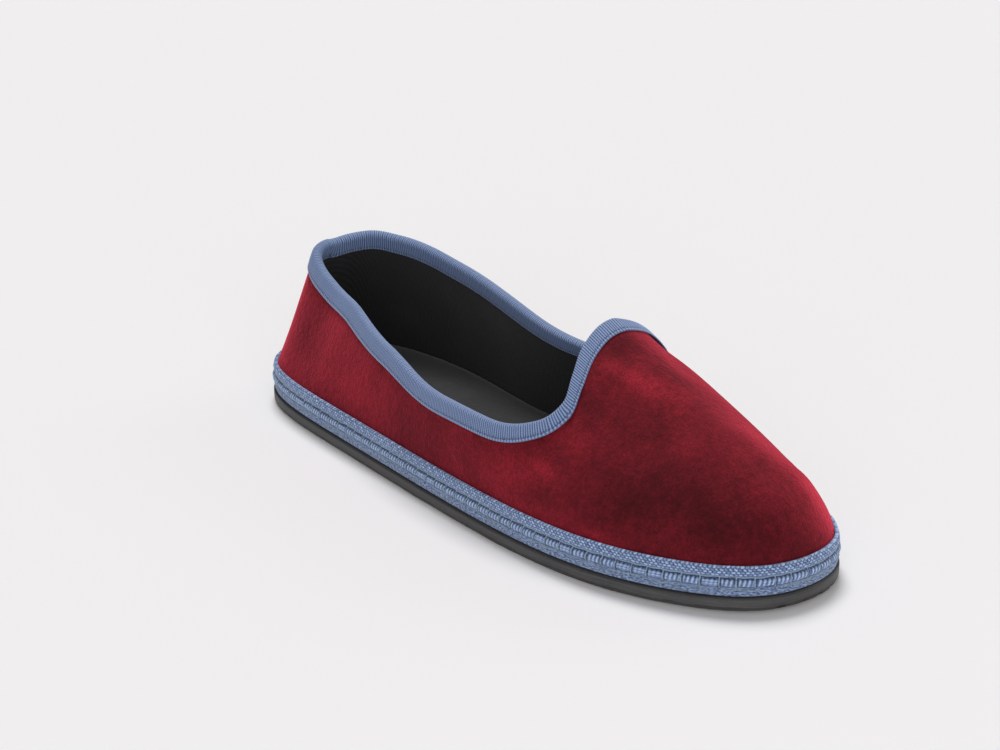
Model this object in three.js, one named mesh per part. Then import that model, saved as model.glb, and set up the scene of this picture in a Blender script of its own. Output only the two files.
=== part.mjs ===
import * as THREE from 'three';

// A friulane slipper for the right foot: a rubber sole, a textile pad sewn to it, a ribbon round the pad's
// edge, and a low velvet upper bound with grosgrain round the foot opening.
// Millimetres, +Z up. The toe points to +X and the big toe's side to +Y. The origin lies on the floor
// under the middle of the sole's length and width.

// Driving dimensions
const SOLE_LENGTH = 258;
const RUBBER_THICKNESS = 4.6;
const PAD_THICKNESS = 4.7;
const INSOLE_THICKNESS = 1.8;
const GAP = 0.3;                  // between pieces that touch on the real shoe
const WALL = 2;                   // velvet and lining together
const RIBBON_TOP = 14.1;          // height at which the velvet leaves the edge ribbon
const LAST_INSET = 1.9;           // from the rubber's edge in to the velvet's foot
const TOE_SPRING = 0.9;           // rise of the toe off the floor
const SPRING_START = 0.68;        // share of the length where that rise begins
const BINDING_WIDTH = 5.6;        // of the grosgrain, down each side of the wall
const BINDING_THICKNESS = 0.9;

// How fine the solids are
const STATIONS = 96;              // points round every ring, an even number
const DOME_ROWS = 8;              // rows of the upper between the ribbon and the binding
const PATH_SAMPLES = 60;          // steps used to measure a rib's length

// Half breadths of the sole, a row every 22.5 degrees of turn: 0 is the heel, 180 the toe, the inner side
// comes first. y is measured from the line through the back of the heel.
const BREADTHS = [
  { turn: 0, y: 0 },
  { turn: 22.5, y: 23.8 },
  { turn: 45, y: 32.3 },
  { turn: 67.5, y: 31.4 },
  { turn: 90, y: 31.2 },
  { turn: 112.5, y: 45.1 },
  { turn: 135, y: 40.6 },
  { turn: 157.5, y: 27.3 },
  { turn: 180, y: 4.3 },
  { turn: 202.5, y: -18.1 },
  { turn: 225, y: -33.7 },
  { turn: 247.5, y: -41.1 },
  { turn: 270, y: -39.9 },
  { turn: 292.5, y: -36.2 },
  { turn: 315, y: -32.5 },
  { turn: 337.5, y: -23.4 },
];

// Cross sections of the last. at: share of the length from the heel. ridge: height of its top line.
// shift: how far that line lies towards the inner side. inner, outer: how full the two flanks are,
// 2 being an ellipse, less a tent and more a box.
const SECTIONS = [
  { at: 0, ridge: 80, shift: 0, inner: 1.32, outer: 1.32 },
  { at: 0.03, ridge: 80.5, shift: 0, inner: 1.85, outer: 1.08 },
  { at: 0.08, ridge: 81, shift: 0, inner: 2.3, outer: 0.95 },
  { at: 0.2, ridge: 82, shift: 0, inner: 2.4, outer: 1.1 },
  { at: 0.4, ridge: 82, shift: 0.6, inner: 2.2, outer: 1.6 },
  { at: 0.55, ridge: 76, shift: 1.8, inner: 1.9, outer: 1.8 },
  { at: 0.65, ridge: 67.9, shift: 3.65, inner: 1.55, outer: 1.65 },
  { at: 0.75, ridge: 58.4, shift: 3.65, inner: 1.45, outer: 1.55 },
  { at: 0.85, ridge: 49.3, shift: 3.65, inner: 1.45, outer: 1.5 },
  { at: 0.93, ridge: 43, shift: 3.65, inner: 1.5, outer: 1.5 },
  { at: 1, ridge: 34.2, shift: 4, inner: 1.57, outer: 1.57 },
];
const RIDGE_HEEL = 0.8;           // the ridge stops short of the heel and toe, as shares of half the length
const RIDGE_TOE = 0.88;

// The foot opening. A rib climbs the last from each turn of the foot line (foot) to a turn of the opening's
// edge (innerEdge, outerEdge). inner, outer: how far up the flank that edge is, in degrees, 90 being the
// ridge. The last rows are the throat, from the corners near 107 and 112 degrees up to the peak.
const OPENING = [
  { foot: 0, innerEdge: 0, inner: 46, outerEdge: 0, outer: 46 },
  { foot: 10, innerEdge: 10, inner: 44.1, outerEdge: 10, outer: 45.6 },
  { foot: 20, innerEdge: 20, inner: 39.4, outerEdge: 20, outer: 45.9 },
  { foot: 35, innerEdge: 35, inner: 32.3, outerEdge: 35, outer: 45 },
  { foot: 50, innerEdge: 50, inner: 28.5, outerEdge: 50, outer: 41.5 },
  { foot: 70, innerEdge: 69.5, inner: 24.5, outerEdge: 70, outer: 31 },
  { foot: 90, innerEdge: 86, inner: 23.5, outerEdge: 88, outer: 23 },
  { foot: 104, innerEdge: 97.5, inner: 27, outerEdge: 101.6, outer: 26 },
  { foot: 116, innerEdge: 103.5, inner: 34.5, outerEdge: 109.4, outer: 35.2 },
  { foot: 128, innerEdge: 106, inner: 46, outerEdge: 112.4, outer: 45 },
  { foot: 142, innerEdge: 107.4, inner: 58, outerEdge: 111.5, outer: 55.5 },
  { foot: 156, innerEdge: 108.8, inner: 69.5, outerEdge: 110.05, outer: 66.3 },
  { foot: 168, innerEdge: 109.6, inner: 79.5, outerEdge: 109.5, outer: 78 },
  { foot: 180, innerEdge: 109.65, inner: 90, outerEdge: 109.65, outer: 90 },
];

// Half section of the edge ribbon: height of each point and how far it lies inside the rubber's edge
const RIBBON = [
  { z: 4.9, inset: 0.5 },         // lower edge
  { z: 6.4, inset: 0.1 },         // plain lower band
  { z: 7.9, inset: 0.3 },         // groove under the sewn boxes
  { z: 9.4, inset: -0.1 },        // sewn boxes
  { z: 11.1, inset: 0.4 },        // thread line
  { z: 12.8, inset: 0.4 },        // checked band
  { z: 14.5, inset: 0.9 },        // upper edge
  { z: 14.5, inset: 1.6 },        // back of the ribbon
  { z: 4.9, inset: 1.6 },
];

const radians = THREE.MathUtils.degToRad;

// A smooth curve through the rows of a table, read at x
function follow(table, key, column, x) {
  const last = table.length - 1;
  const at = THREE.MathUtils.clamp(x, table[0][key], table[last][key]);
  let i = 0;
  while (i < last - 1 && at > table[i + 1][key]) i += 1;
  const slope = (a) => (table[a + 1][column] - table[a][column]) / (table[a + 1][key] - table[a][key]);
  const bend = (a) => {
    if (a === 0) return slope(0);
    if (a === last) return slope(last - 1);
    const before = table[a][key] - table[a - 1][key];
    const after = table[a + 1][key] - table[a][key];
    return (slope(a - 1) * after + slope(a) * before) / (before + after);
  };
  const step = table[i + 1][key] - table[i][key];
  const s = (at - table[i][key]) / step;
  const rest = 1 - s;
  return rest * rest * (1 + 2 * s) * table[i][column] + s * s * (3 - 2 * s) * table[i + 1][column]
    + s * rest * step * (rest * bend(i) - s * bend(i + 1));
}

// The sole's edge

function breadth(turn) {
  let y = 0;
  for (const row of BREADTHS) {
    const away = turn - radians(row.turn);
    const half = Math.tan(away / 2);
    const weight = Math.abs(half) < 1e-9 ? 1 : Math.sin(BREADTHS.length * away / 2) / half / BREADTHS.length;
    y += row.y * weight;
  }
  return y;
}

function edgePoint(turn) {
  return new THREE.Vector2(SOLE_LENGTH / 2 * (1 - Math.cos(turn)), breadth(turn));
}

// A point of the sole's edge, moved in by inset along the edge's normal
function outline(turn, inset) {
  const small = 1e-4;
  const along = edgePoint(turn + small).sub(edgePoint(turn - small)).normalize();
  return edgePoint(turn).add(new THREE.Vector2(along.y, -along.x).multiplyScalar(inset));
}

function spring(x) {
  const share = Math.max(0, x / SOLE_LENGTH - SPRING_START) / (1 - SPRING_START);
  return TOE_SPRING * share * share;
}

const TURNS = Array.from({ length: STATIONS }, (_, i) => 2 * Math.PI * i / STATIONS);
const WIDEST = TURNS.map((turn) => breadth(turn));
const MIDDLE = new THREE.Vector3(SOLE_LENGTH / 2, (Math.max(...WIDEST) + Math.min(...WIDEST)) / 2, 0);

// The last

// turn goes round the foot, climb from 0 at its foot line to a right angle at the ridge
function lastPoint(turn, climb) {
  const foot = outline(turn, LAST_INSET);
  const at = (1 - Math.cos(turn)) / 2;
  const reach = turn % (2 * Math.PI) > Math.PI / 2 && turn % (2 * Math.PI) < 1.5 * Math.PI ? RIDGE_TOE : RIDGE_HEEL;
  const ridgeX = SOLE_LENGTH / 2 * (1 - reach * Math.cos(turn));
  const full = follow(SECTIONS, 'at', Math.sin(turn) >= 0 ? 'inner' : 'outer', at);
  const across = 1 - Math.cos(climb) ** (2 / full);
  const up = Math.sin(climb) ** (2 / full);
  const x = foot.x + (ridgeX - foot.x) * across;
  const y = foot.y + (follow(SECTIONS, 'at', 'shift', at) - foot.y) * across;
  const z = RIBBON_TOP + (follow(SECTIONS, 'at', 'ridge', at) - RIBBON_TOP) * up;
  return new THREE.Vector3(x, y, z + spring(x));
}

// The last's flat chart: a disc with the heel at x = -1, the toe at x = 1 and the ridge on the x axis
function toChart(turn, climb) {
  const reach = Math.cos(turn) < 0 ? RIDGE_TOE : RIDGE_HEEL;
  return new THREE.Vector2(
    -Math.cos(turn) * (reach + (1 - reach) * Math.cos(climb)),
    Math.sin(turn) * Math.cos(climb),
  );
}

function fromChart(spot) {
  const side = Math.max(Math.abs(spot.y), 1e-7);
  let low = Math.asin(Math.min(1, side));
  let high = Math.PI - low;
  for (let i = 0; i < 60; i += 1) {
    const turn = (low + high) / 2;
    const climb = Math.acos(Math.min(1, side / Math.sin(turn)));
    if (toChart(turn, climb).x < spot.x) low = turn;
    else high = turn;
  }
  const turn = (low + high) / 2;
  const climb = Math.acos(Math.min(1, side / Math.sin(turn)));
  return lastPoint(spot.y < 0 ? 2 * Math.PI - turn : turn, climb);
}

// The upper's skin: ribs climb from the foot line to the opening, straight on the chart

function rib(turn) {
  const inner = turn <= Math.PI;
  const foot = THREE.MathUtils.radToDeg(inner ? turn : 2 * Math.PI - turn);
  const edge = radians(follow(OPENING, 'foot', inner ? 'innerEdge' : 'outerEdge', foot));
  const climb = radians(follow(OPENING, 'foot', inner ? 'inner' : 'outer', foot));
  const start = toChart(turn, 0);
  const end = toChart(inner ? edge : 2 * Math.PI - edge, climb);
  const path = [];
  for (let i = 0; i <= PATH_SAMPLES; i += 1) {
    const share = (i / PATH_SAMPLES) ** 2;
    path.push(fromChart(start.clone().lerp(end, share)));
  }
  return spaced(path);
}

// Points along a path: a row at its foot, even rows up to the binding, and three rows under the binding
function spaced(path) {
  const lengths = [0];
  for (let i = 1; i < path.length; i += 1) lengths.push(lengths[i - 1] + path[i].distanceTo(path[i - 1]));
  const total = lengths[path.length - 1];
  const wanted = [];
  for (let i = 0; i < DOME_ROWS; i += 1) wanted.push((total - BINDING_WIDTH) * i / DOME_ROWS);
  wanted.push(total - BINDING_WIDTH, total - BINDING_WIDTH / 2, total);
  return wanted.map((length) => {
    let i = 1;
    while (i < path.length - 1 && lengths[i] < length) i += 1;
    return path[i - 1].clone().lerp(path[i], (length - lengths[i - 1]) / (lengths[i] - lengths[i - 1]));
  });
}

const SOLE_TOP = RUBBER_THICKNESS + GAP;
const PAD_TOP = SOLE_TOP + PAD_THICKNESS;

// A column of points for each turn, starting with the margin that the ribbon hides
const SKIN = TURNS.map((turn) => {
  const points = rib(turn);
  const margin = outline(turn, LAST_INSET);
  return [new THREE.Vector3(margin.x, margin.y, PAD_TOP + GAP + spring(margin.x)), ...points];
});

// Outward normals of a closed band of columns
function normalsOf(columns) {
  const rows = columns[0].length;
  const geometry = new THREE.BufferGeometry();
  geometry.setAttribute('position', new THREE.Float32BufferAttribute(columns.flat().flatMap((p) => p.toArray()), 3));
  geometry.setIndex(bandFaces(columns.length, rows));
  geometry.computeVertexNormals();
  const normals = geometry.getAttribute('normal');
  return columns.map((column, i) => column.map(
    (_, j) => new THREE.Vector3().fromBufferAttribute(normals, i * rows + j),
  ));
}

// Faces of a grid of columns that closes round the shoe, facing out where the columns climb its outside
function bandFaces(columns, rows) {
  const faces = [];
  for (let i = 0; i < columns; i += 1) {
    const next = (i + 1) % columns;
    for (let j = 0; j < rows - 1; j += 1) {
      faces.push(i * rows + j, i * rows + j + 1, next * rows + j);
      faces.push(next * rows + j, i * rows + j + 1, next * rows + j + 1);
    }
  }
  return faces;
}

// A solid ring from closed section loops, one loop for each turn, all with the same number of points
function ringSolid(loops) {
  const rows = loops[0].length;
  const closed = loops.map((loop) => [...loop, loop[0]]);
  const faces = bandFaces(loops.length, rows + 1).map((index) => {
    const column = Math.floor(index / (rows + 1));
    return column * rows + (index % (rows + 1)) % rows;
  });
  return solid(closed.map((loop) => loop.slice(0, rows)).flat(), faces);
}

// A solid plate with curved rise: rings of points one above the other, closed by strips from side to side
function plateSolid(profile) {
  const rings = profile.map(({ z, inset }) => TURNS.map((turn) => {
    const p = outline(turn, inset);
    return new THREE.Vector3(p.x, p.y, z + spring(p.x));
  }));
  const points = rings.flat();
  const faces = [];
  const n = STATIONS;
  for (let r = 0; r < rings.length - 1; r += 1) {
    for (let i = 0; i < n; i += 1) {
      const next = (i + 1) % n;
      faces.push(r * n + i, (r + 1) * n + i, r * n + next);
      faces.push(r * n + next, (r + 1) * n + i, (r + 1) * n + next);
    }
  }
  const top = (rings.length - 1) * n;
  for (let i = 0; i < n / 2; i += 1) {
    const far = (n - i) % n;
    const farNext = n - i - 1;
    const strip = [[i, i + 1, farNext]];
    if (i > 0) strip.push([i, farNext, far]);
    for (const [a, b, c] of strip) {
      if (b === c) continue;
      faces.push(a, b, c);
      faces.push(top + a, top + c, top + b);
    }
  }
  return solid(points, faces);
}

function solid(points, faces) {
  const geometry = new THREE.BufferGeometry();
  const centred = points.map((p) => p.clone().sub(MIDDLE));
  geometry.setAttribute('position', new THREE.Float32BufferAttribute(centred.flatMap((p) => p.toArray()), 3));
  geometry.setIndex(faces);
  return geometry;
}

// The pieces

const finishes = {
  rubber: { color: 0x3b3b3b, roughness: 0.75 },
  pad: { color: 0x4d5f80, roughness: 0.95 },
  velvet: { color: 0x6e1a22, roughness: 0.9 },
  ribbon: { color: 0x5f7cab, roughness: 0.85 },
  lining: { color: 0x17171a, roughness: 0.9 },
};

function piece(name, finish, geometry) {
  const mesh = new THREE.Mesh(geometry, new THREE.MeshStandardMaterial({ metalness: 0, ...finish }));
  geometry.computeVertexNormals();
  mesh.name = name;
  return mesh;
}

// Cut from a flat rubber sheet, with its lower arris worn and its upper one cut clean
function outsole() {
  return plateSolid([
    { z: 0, inset: 0.9 },
    { z: 0.8, inset: 0.15 },
    { z: RUBBER_THICKNESS - 0.3, inset: 0 },
    { z: RUBBER_THICKNESS, inset: 0.3 },
  ]);
}

// Layers of cloth sewn to the rubber
function midsole() {
  return plateSolid([
    { z: SOLE_TOP, inset: LAST_INSET },
    { z: PAD_TOP, inset: LAST_INSET },
  ]);
}

// The lining's floor, inside the upper
function insole() {
  const inset = LAST_INSET + WALL + GAP;
  return plateSolid([
    { z: PAD_TOP + GAP, inset },
    { z: PAD_TOP + GAP + INSOLE_THICKNESS, inset },
  ]);
}

function edgeRibbon() {
  return ringSolid(TURNS.map((turn) => RIBBON.map(({ z, inset }) => {
    const p = outline(turn, inset);
    return new THREE.Vector3(p.x, p.y, z + spring(p.x));
  })));
}

const SKIN_NORMALS = normalsOf(SKIN);

// One wall of velvet and lining: the skin, and the same skin moved in by the wall
function upper() {
  return ringSolid(SKIN.map((column, i) => {
    const inside = column.map((p, j) => p.clone().addScaledVector(SKIN_NORMALS[i][j], -WALL));
    return [...column, ...inside.reverse()];
  }));
}

// Grosgrain folded over the opening's edge, its two legs following the wall
function collarBinding() {
  return ringSolid(SKIN.map((column, i) => {
    const top = column.length - 1;
    const up = column[top].clone().sub(column[top - 1]).normalize();
    const spot = (row, out, rise) => column[row].clone()
      .addScaledVector(SKIN_NORMALS[i][row], out)
      .addScaledVector(up, rise);
    const near = GAP;
    const far = GAP + BINDING_THICKNESS;
    return [
      spot(top - 2, near, 0),
      spot(top - 2, far - 0.2, 0),
      spot(top - 1, far, 0),
      spot(top, far - 0.2, GAP),
      spot(top, -0.3 * WALL, far),
      spot(top, -0.7 * WALL, far),
      spot(top, -WALL - far + 0.2, GAP),
      spot(top - 1, -WALL - far, 0),
      spot(top - 2, -WALL - far + 0.2, 0),
      spot(top - 2, -WALL - near, 0),
      spot(top - 1, -WALL - near, 0),
      spot(top, -WALL - near, near),
      spot(top, near, near),
      spot(top - 1, near, 0),
    ];
  }));
}

const slipper = new THREE.Group();
slipper.add(
  piece('outsole', finishes.rubber, outsole()),
  piece('midsole', finishes.pad, midsole()),
  piece('insole', finishes.lining, insole()),
  piece('edge_ribbon', finishes.ribbon, edgeRibbon()),
  piece('upper', finishes.velvet, upper()),
  piece('collar_binding', finishes.ribbon, collarBinding()),
);

export default slipper;
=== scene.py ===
import bpy
import numpy as np
from mathutils import Matrix, Vector


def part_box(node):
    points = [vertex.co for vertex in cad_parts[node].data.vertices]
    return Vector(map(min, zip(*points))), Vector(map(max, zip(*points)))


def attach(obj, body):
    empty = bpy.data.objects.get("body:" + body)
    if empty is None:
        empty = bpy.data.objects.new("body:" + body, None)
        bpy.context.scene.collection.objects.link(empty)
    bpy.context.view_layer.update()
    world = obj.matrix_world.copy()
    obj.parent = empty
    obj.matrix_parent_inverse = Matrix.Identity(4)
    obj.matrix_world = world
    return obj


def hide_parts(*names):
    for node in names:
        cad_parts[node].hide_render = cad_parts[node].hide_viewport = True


# A friulane slipper for the right foot, standing empty on its sole. Metres, +Z up: the toe points to +X and
# the big toe's side to +Y. The sections follow the shoe as it is put together, from the floor up.

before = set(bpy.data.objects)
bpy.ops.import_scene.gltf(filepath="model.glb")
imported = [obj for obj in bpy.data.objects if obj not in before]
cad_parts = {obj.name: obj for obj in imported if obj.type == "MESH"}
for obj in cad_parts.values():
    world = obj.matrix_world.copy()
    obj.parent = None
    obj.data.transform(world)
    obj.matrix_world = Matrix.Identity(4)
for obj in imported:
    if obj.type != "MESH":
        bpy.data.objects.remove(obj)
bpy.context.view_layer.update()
mm = 0.001

# Outsole. A sheet of grey-black rubber cut by knife along the foot's outline, so its side is plain and
# faintly streaked. Its underside carries a moulded tread of blocks and slots round a smooth middle rib,
# with a bare plaque at mid-length, and it is sunk a little where the sewing runs.

SOLE_LOW, SOLE_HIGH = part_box("outsole")
SOLE_LENGTH = SOLE_HIGH.x - SOLE_LOW.x
TOE_SPRING = 0.9 * mm             # rise of the toe off the floor
SPRING_START = 0.68               # share of the length where that rise begins
RUBBER_TOP = 4.6 * mm
EDGE_WEAR = 0.9 * mm              # the underside's edge lies this far inside the outline

EDGE_SAMPLES = 4001               # of each long side, from which the lattice's ends are read
SOLE_COLUMNS = 560                # across lines of the underside's lattice
SOLE_STEP = 0.5 * mm              # along lines, that far apart
END_SHARE = 0.06                  # share of the columns that crowd towards each end


def table(columns, *rows):
    """Rows of numbers under named columns, as a dictionary of arrays."""
    return dict(zip(columns.split(), np.array(rows, float).T))


# Half breadths of the sole in millimetres, a row every 22.5 degrees of turn: 0 is the heel and 180 the toe,
# and the inner side comes first
BREADTHS = table(
    "turn y",
    (0, 0), (22.5, 23.8), (45, 32.3), (67.5, 31.4), (90, 31.2), (112.5, 45.1), (135, 40.6), (157.5, 27.3),
    (180, 4.3), (202.5, -18.1), (225, -33.7), (247.5, -41.1), (270, -39.9), (292.5, -36.2), (315, -32.5),
    (337.5, -23.4),
)
CAD_STATIONS = 96


def breadth(turn):
    """The sole's edge at each turn, measured from the line through the back of the heel."""
    away = np.asarray(turn)[..., None] - np.radians(BREADTHS["turn"])
    half = np.tan(away / 2)
    count = len(BREADTHS["turn"])
    on_row = abs(half) < 1e-9
    weight = np.where(on_row, 1, np.sin(count * away / 2) / np.where(on_row, 1, half) / count)
    return weight @ BREADTHS["y"] * mm


WIDEST = breadth(np.arange(CAD_STATIONS) * 2 * np.pi / CAD_STATIONS)
MIDDLE = np.array([SOLE_LENGTH / 2, (WIDEST.max() + WIDEST.min()) / 2])


def edge_point(turn):
    return np.stack([SOLE_LENGTH / 2 * (1 - np.cos(turn)), breadth(turn)], -1) - MIDDLE


def outline(turn, inset):
    """Points of the sole's edge, moved in by inset."""
    small = 1e-4
    along = edge_point(turn + small) - edge_point(turn - small)
    along /= np.linalg.norm(along, axis=-1, keepdims=True)
    inward = np.stack([along[..., 1], -along[..., 0]], -1)
    return edge_point(turn) + inward * np.asarray(inset)[..., None]


def spring(x):
    """How far the sole has risen off the floor at x."""
    share = np.maximum(0, (x + SOLE_LENGTH / 2) / SOLE_LENGTH - SPRING_START) / (1 - SPRING_START)
    return TOE_SPRING * share * share


def smooth(low, high, x):
    """0 below low, 1 above high and an S-shaped rise between."""
    share = np.clip((x - low) / (high - low), 0, 1)
    return share * share * (3 - 2 * share)


def groove(distance, width, soft=0.3 * mm):
    """1 in the middle of a groove of that width, 0 outside it."""
    return 1 - smooth(width / 2 - soft / 2, width / 2 + soft / 2, abs(distance))


STITCH_ROWS = 5
STITCH_LENGTH = 9 * mm
STITCH_GAP = 1.1 * mm
STITCH_RADIUS = 0.62 * mm
FIRST_ROW = 6 * mm                # from the sole's edge in to the first row of stitches
ROW_SPACING = 5 * mm              # between rows along the sides
HEEL_SPACING = 9.6 * mm           # between rows at the heel's end
TOE_SPACING = 6.6 * mm            # between rows at the toe's end
END_CROWDING = 0.62               # how much of the side spacing the inset keeps round the ends
PATH_POINTS = 721                 # of a row of stitches, the middle one at the toe
STITCH_SEED = 11
START_PLAY = (-0.5, 0.5)          # least and most by which hand sewing strays, in millimetres
LENGTH_PLAY = (-0.5, 0.3)
SLANT_PLAY = (0.15, 0.4)
HEEL_SHIFT = -2.5 * mm            # of the single stitches between two rows, sideways
TOE_SHIFT = 2 * mm


def stitch_path(row):
    """A closed row of stitches, 0 being the outermost, as points along it."""
    turn = np.linspace(0, 2 * np.pi, PATH_POINTS)
    ends = np.cos(turn) ** 4
    inset = FIRST_ROW + row * ROW_SPACING * (1 - (1 - END_CROWDING) * ends)
    path = outline(turn, inset)
    low, high = path[:, 0].min(), path[:, 0].max()
    heel = -SOLE_LENGTH / 2 + FIRST_ROW + row * HEEL_SPACING
    toe = SOLE_LENGTH / 2 - FIRST_ROW - row * TOE_SPACING
    path[:, 0] = heel + (path[:, 0] - low) / (high - low) * (toe - heel)
    return path


def along_path(path):
    """Distance run at each point of a path."""
    return np.concatenate([[0], np.cumsum(np.linalg.norm(np.diff(path, axis=0), axis=1))])


def sewn_stitches():
    """Start and end of every stitch in the sole: the closed rows, then one stitch between each two rows
    at the heel and at the toe."""
    chance = np.random.default_rng(STITCH_SEED)
    stitches = []
    for row in range(STITCH_ROWS):
        path = stitch_path(row)
        run = along_path(path)
        count = int(round(run[-1] / (STITCH_LENGTH + STITCH_GAP)))
        pitch = run[-1] / count
        starts = np.arange(count) * pitch + chance.uniform(*START_PLAY, count) * mm
        lengths = pitch - STITCH_GAP + chance.uniform(*LENGTH_PLAY, count) * mm
        for start, length in zip(starts, lengths):
            ends = np.array([start, start + length]) % run[-1]
            place = np.stack([np.interp(ends, run, path[:, 0]), np.interp(ends, run, path[:, 1])], -1)
            across = np.array([place[0, 1] - place[1, 1], place[1, 0] - place[0, 0]])
            across /= np.linalg.norm(across)
            slant = chance.uniform(*SLANT_PLAY) * mm
            stitches.append(place + np.outer([slant, -slant], across))
    for spot, side in ((0, HEEL_SHIFT), (PATH_POINTS // 2, TOE_SHIFT)):
        for row in range(STITCH_ROWS - 1):
            shift = side * (1 if row % 2 else 0.4)
            start = stitch_path(row)[spot] + [0, shift]
            finish = stitch_path(row + 1)[spot] + [0, shift - side * 0.6]
            reach = finish - start
            stitches.append(np.array([start + reach * 0.08, finish - reach * 0.08]))
    return np.array(stitches)


STITCHES = sewn_stitches()

PLAQUE_LENGTH = 62 * mm
PLAQUE_WIDTH = 9 * mm
PLAQUE_AT = 4 * mm                # its middle, along the shoe
BLOCK_PITCH = 11 * mm
SLANT = 0.32                      # of the slots that cross the blocks
TREAD_DEPTH = 1 * mm              # of the deepest groove
TREAD_LIFT = 0.35 * mm            # the sewn middle lies this far above the margin
SLOT_WIDTH = 0.7 * mm
SLOT_DEPTH = 0.8                  # these three as shares of the deepest groove
LINE_DEPTH = 0.7
PLAQUE_DEPTH = 0.6
RIB_EDGE = 4.6 * mm               # a dashed groove runs there, beside the middle rib
DASH_SHARE = 0.82                 # of the pitch
LINES = (17 * mm, 24 * mm)        # two fine grooves from end to end
NOTCH_SIZE = 0.9 * mm             # of the rounded notch at each slot's outer end

# Bands of blocks on each side of the middle rib, in millimetres from it: where a band starts and ends, and
# the share of the pitch by which its slots are shifted
BANDS = table("start end shift", (5, 11, 0), (11, 17, 0.5), (24, 30, 0.25), (30, 37, 0.75))
RIBBED = (17.6 * mm, 23.4 * mm)   # the band of fine cross ribs


def tread_axis(x):
    """The middle line of the tread, from the middle of the heel to the middle of the toe."""
    share = (x + SOLE_LENGTH / 2) / SOLE_LENGTH
    return -MIDDLE[1] + 4.3 * mm * share


def tread(x, y):
    """Depth of the moulded pattern, as a share of its deepest groove."""
    side = np.sign(y - tread_axis(x))
    across = abs(y - tread_axis(x))
    straight = PLAQUE_LENGTH / 2 - PLAQUE_WIDTH / 2
    plaque = np.hypot(np.maximum(0, abs(x - PLAQUE_AT) - straight), across) - PLAQUE_WIDTH / 2
    depth = PLAQUE_DEPTH * groove(plaque, SLOT_WIDTH)
    beside = abs(x - PLAQUE_AT) > PLAQUE_LENGTH / 2 + 1 * mm
    dash = abs((x / BLOCK_PITCH) % 1 - 0.5) < DASH_SHARE / 2
    depth = np.maximum(depth, groove(across - RIB_EDGE, 1 * mm) * dash * beside)
    for line in LINES:
        depth = np.maximum(depth, LINE_DEPTH * groove(across - line, 0.6 * mm))
    for start, end, shift in zip(BANDS["start"] * mm, BANDS["end"] * mm, BANDS["shift"]):
        inside = (across > start) & (across < end)
        place = (x - side * SLANT * across) / BLOCK_PITCH + shift + 0.13 * (side > 0)
        slot = (place % 1 - 0.5) * BLOCK_PITCH
        depth = np.maximum(depth, SLOT_DEPTH * groove(slot, SLOT_WIDTH) * inside)
        along = np.maximum(0, abs(slot + 1.4 * mm) - 1.6 * mm)
        notch = np.hypot(along, across - end + 1.2 * mm) - 0.35 * mm
        depth = np.maximum(depth, groove(np.maximum(0, notch), NOTCH_SIZE))
    return depth


def sole_columns():
    """x of the lattice's across lines: even along the sole and crowded at its two round ends."""
    share = np.linspace(0, 1, SOLE_COLUMNS)
    rise = 1 / (2 * END_SHARE * (1 - END_SHARE))
    near = np.minimum(share, 1 - share)
    part = np.where(near < END_SHARE, rise * near ** 2, (near - END_SHARE / 2) / (1 - END_SHARE))
    return np.where(share < 0.5, part, 1 - part)


def lattice():
    """The underside as a square lattice cut along its outline: its points, its faces, which look down, and
    the loop of points round its edge, in the order of the turns."""
    turn = np.linspace(0, np.pi, EDGE_SAMPLES)
    inner = outline(turn, EDGE_WEAR)
    outer = outline(2 * np.pi - turn, EDGE_WEAR)
    low, high = inner[0, 0], inner[-1, 0]
    xs = low + (high - low) * sole_columns()
    upper = np.interp(xs, inner[:, 0], inner[:, 1])
    lower = np.interp(xs, outer[:, 0], outer[:, 1])
    rows = np.arange(np.floor(lower.min() / SOLE_STEP), np.ceil(upper.max() / SOLE_STEP) + 1) * SOLE_STEP
    margin = 0.25 * SOLE_STEP
    index = np.zeros((len(xs), len(rows)), int)
    points = []
    for i, x in enumerate(xs):
        first = len(points)
        points.append((x, lower[i]))
        inside = np.flatnonzero((rows > lower[i] + margin) & (rows < upper[i] - margin))
        points.extend((x, rows[j]) for j in inside)
        last = len(points)
        if upper[i] > lower[i]:
            points.append((x, upper[i]))
        else:
            last = first
        index[i] = np.where(rows < (lower[i] + upper[i]) / 2, first, last)
        index[i, inside] = first + 1 + np.arange(len(inside))
    faces = []
    for i in range(len(xs) - 1):
        for j in range(len(rows) - 1):
            corners = (index[i, j], index[i, j + 1], index[i + 1, j + 1], index[i + 1, j])
            face = list(dict.fromkeys(corners))
            if len(face) > 2:
                faces.append(face)
    edge = [index[0, 0]]
    edge += [index[i, -1] for i in range(1, len(xs) - 1)]
    edge += [index[-1, 0]]
    edge += [index[i, 0] for i in range(len(xs) - 2, 0, -1)]
    return np.array(points), faces, np.array(edge)


def unit(vectors):
    return vectors / np.maximum(np.linalg.norm(vectors, axis=-1, keepdims=True), 1e-12)


def loop_normals(loop):
    """Outward normals of a closed loop that runs with the turns."""
    along = unit(np.roll(loop, -1, 0) - np.roll(loop, 1, 0))
    return np.stack([-along[:, 1], along[:, 0]], -1)


def band(lower, upper):
    """Quads between two closed loops of point numbers, facing out where the loops run with the turns."""
    return [tuple(face) for face in np.column_stack([lower, upper, np.roll(upper, -1), np.roll(lower, -1)])]


def cap(loop):
    """Faces that look up and close such a loop, in strips from its inner side to its outer side."""
    strips = ((loop[i], loop[-i], loop[-i - 1], loop[i + 1]) for i in range(len(loop) // 2))
    return [tuple(dict.fromkeys(strip)) for strip in strips]


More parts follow.
